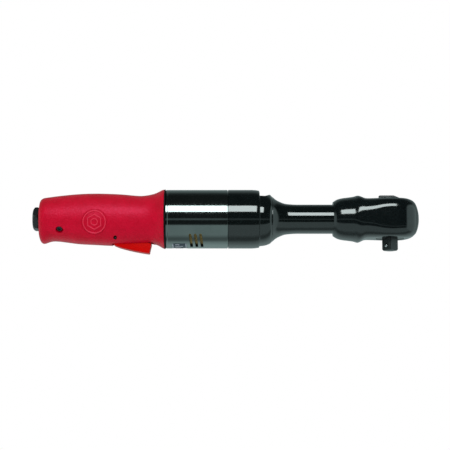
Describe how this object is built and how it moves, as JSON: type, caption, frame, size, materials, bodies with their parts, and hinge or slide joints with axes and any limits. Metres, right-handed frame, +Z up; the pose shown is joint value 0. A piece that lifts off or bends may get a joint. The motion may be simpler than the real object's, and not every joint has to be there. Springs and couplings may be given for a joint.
{
  "type": "air ratchet",
  "caption": "Straight pneumatic ratchet wrench with a moulded red hand grip and trigger, dark motor housing, slim neck, booted head with a reversing knob and a square drive.",
  "frame": {"origin": "Centre of the square drive's end face.", "axes": "+X from the air inlet to the head along the tool, +Z up along the drive axis from the drive end to the reversing knob, +Y to the far side."},
  "size_m": [0.312, 0.0482, 0.0522],
  "materials": {
    "red_grip": "moulded grip with a fine grain",
    "red_trigger": "moulded trigger",
    "gunmetal": "dark polished plating",
    "black_nut": "glossy black",
    "black_boot": "glossy black moulding",
    "black_oxide": "black oxide on steel",
    "dark_plate": "dark printed plate",
    "steel": "machined steel",
    "brass": "brass and sintered bronze",
    "rubber": "nitrile rubber",
    "aluminium": "machined aluminium",
    "phenolic": "fibre-filled vane material"
  },
  "bodies": {
    "root": {"handle_grip": "red_grip", "handle_core": "aluminium", "inlet_bushing": "black_oxide", "inlet_screen": "steel", "grip_screw": "black_oxide", "trigger_pin": "steel", "valve_seat": "brass", "valve_spring": "steel", "push_pin_bushing": "brass", "push_pin_o_ring": "rubber", "grip_gasket": "rubber", "motor_housing": "gunmetal", "exhaust_muffler": "brass", "rating_plate": "dark_plate", "rear_end_plate": "steel", "front_end_plate": "steel", "cylinder": "steel", "rear_bearing_outer": "steel", "front_bearing_outer": "steel", "ring_gear": "steel", "clamp_nut": "black_nut", "clamp_ring": "steel", "ratchet_housing": "black_nut", "head_boot": "black_boot", "crank_bearing": "steel", "needle_bearing": "steel", "upper_thrust_washer": "steel", "lower_thrust_washer": "steel"},
    "trigger": {"trigger": "red_trigger"},
    "push_pin": {"push_pin": "steel"},
    "throttle_valve": {"throttle_valve": "brass"},
    "rotor": {"rotor": "steel", "rear_bearing_inner": "steel", "front_bearing_inner": "steel"},
    "bearing_cages": {"rear_bearing_balls": "steel", "front_bearing_balls": "steel"},
    "vane_1": {"vane_1": "phenolic"},
    "vane_2": {"vane_2": "phenolic"},
    "vane_3": {"vane_3": "phenolic"},
    "vane_4": {"vane_4": "phenolic"},
    "vane_5": {"vane_5": "phenolic"},
    "crank": {"crankshaft": "steel", "planet_carrier": "steel", "planet_pin_1": "steel", "planet_pin_2": "steel", "planet_pin_3": "steel"},
    "planet_1": {"planet_gear_1": "steel"},
    "planet_2": {"planet_gear_2": "steel"},
    "planet_3": {"planet_gear_3": "steel"},
    "crank_bushing": {"crank_pin_bushing": "brass"},
    "yoke": {"yoke": "steel"},
    "anvil": {"anvil": "black_oxide", "pawl_pin": "steel", "anvil_retaining_ring": "steel", "socket_ball_spring": "steel"},
    "pawl": {"pawl": "steel"},
    "reverse_knob": {"reverse_knob": "black_oxide", "pawl_spring": "steel"},
    "pawl_plunger": {"pawl_plunger": "steel"},
    "socket_ball": {"socket_ball": "steel"}
  },
  "joints": [
    {"name": "trigger_pull", "type": "hinge", "parent": "root", "child": "trigger", "pos_m": [-0.2214, 0, 0.0092], "axis": [0, -1, 0], "range_deg": [0, 9], "stiffness_Nm_per_rad": 0.3, "springref_deg": -2.86},
    {"name": "push_pin_lift", "type": "slide", "parent": "root", "child": "push_pin", "axis": [0, 0, 1], "range_m": [0, 0.0029]},
    {"name": "throttle_tilt", "type": "hinge", "parent": "root", "child": "throttle_valve", "pos_m": [-0.2195, 0, 0.0196], "axis": [0, -1, 0], "range_deg": [0, 10.2]},
    {"name": "rotor_spin", "type": "hinge", "parent": "root", "child": "rotor", "pos_m": [-0.155, 0, 0.0256], "axis": [1, 0, 0], "continuous": true},
    {"name": "bearing_cage_spin", "type": "hinge", "parent": "root", "child": "bearing_cages", "pos_m": [-0.155, 0, 0.0256], "axis": [1, 0, 0], "continuous": true},
    {"name": "vane_1_slide", "type": "slide", "parent": "rotor", "child": "vane_1", "axis": [0, 1, 0], "range_m": [0, 0.0005]},
    {"name": "vane_2_slide", "type": "slide", "parent": "rotor", "child": "vane_2", "axis": [0, 0.309, 0.9511], "range_m": [0, 0.0005]},
    {"name": "vane_3_slide", "type": "slide", "parent": "rotor", "child": "vane_3", "axis": [0, -0.809, 0.5878], "range_m": [0, 0.0005]},
    {"name": "vane_4_slide", "type": "slide", "parent": "rotor", "child": "vane_4", "axis": [0, -0.809, -0.5878], "range_m": [0, 0.0005]},
    {"name": "vane_5_slide", "type": "slide", "parent": "rotor", "child": "vane_5", "axis": [0, 0.309, -0.9511], "range_m": [0, 0.0005]},
    {"name": "crank_spin", "type": "hinge", "parent": "root", "child": "crank", "pos_m": [-0.08, 0, 0.0256], "axis": [1, 0, 0], "continuous": true},
    {"name": "planet_1_spin", "type": "hinge", "parent": "crank", "child": "planet_1", "pos_m": [-0.128, 0.0105, 0.0256], "axis": [1, 0, 0], "continuous": true},
    {"name": "planet_2_spin", "type": "hinge", "parent": "crank", "child": "planet_2", "pos_m": [-0.128, -0.00525, 0.03469], "axis": [1, 0, 0], "continuous": true},
    {"name": "planet_3_spin", "type": "hinge", "parent": "crank", "child": "planet_3", "pos_m": [-0.128, -0.00525, 0.01651], "axis": [1, 0, 0], "continuous": true},
    {"name": "crank_bushing_spin", "type": "hinge", "parent": "crank", "child": "crank_bushing", "pos_m": [-0.024, 0, 0.0276], "axis": [1, 0, 0], "continuous": true},
    {"name": "yoke_swing", "type": "hinge", "parent": "root", "child": "yoke", "pos_m": [0, 0, 0.0256], "axis": [0, 0, 1], "range_deg": [-5, 5]},
    {"name": "anvil_spin", "type": "hinge", "parent": "root", "child": "anvil", "pos_m": [0, 0, 0.0256], "axis": [0, 0, 1], "continuous": true},
    {"name": "knob_turn", "type": "hinge", "parent": "anvil", "child": "reverse_knob", "pos_m": [0, 0, 0.0256], "axis": [0, 0, 1], "range_deg": [-40, 40]},
    {"name": "pawl_rock", "type": "hinge", "parent": "anvil", "child": "pawl", "pos_m": [0.008, 0, 0.0256], "axis": [0, 0, 1], "range_deg": [-10, 10]},
    {"name": "pawl_plunger_slide", "type": "slide", "parent": "reverse_knob", "child": "pawl_plunger", "axis": [1, 0, 0], "range_m": [-0.0008, 0], "stiffness_N_per_m": 200, "springref_m": 0.002},
    {"name": "socket_ball_slide", "type": "slide", "parent": "anvil", "child": "socket_ball", "axis": [-0.766, -0.6428, 0], "range_m": [-0.0006, 0], "stiffness_N_per_m": 300, "springref_m": 0.001}
  ],
  "couplings": [
    {"joint": "push_pin_lift", "follows": "trigger_pull", "m_per_rad": 0.018},
    {"joint": "throttle_tilt", "follows": "trigger_pull", "ratio": 1.125},
    {"joint": "bearing_cage_spin", "follows": "rotor_spin", "ratio": 0.4295},
    {"joint": "crank_spin", "follows": "rotor_spin", "ratio": 0.2},
    {"joint": "planet_1_spin", "follows": "rotor_spin", "ratio": -0.53333},
    {"joint": "planet_2_spin", "follows": "rotor_spin", "ratio": -0.53333},
    {"joint": "planet_3_spin", "follows": "rotor_spin", "ratio": -0.53333},
    {"joint": "crank_bushing_spin", "follows": "rotor_spin", "ratio": -0.2},
    {"joint": "pawl_rock", "follows": "knob_turn", "ratio": -0.25}
  ]
}
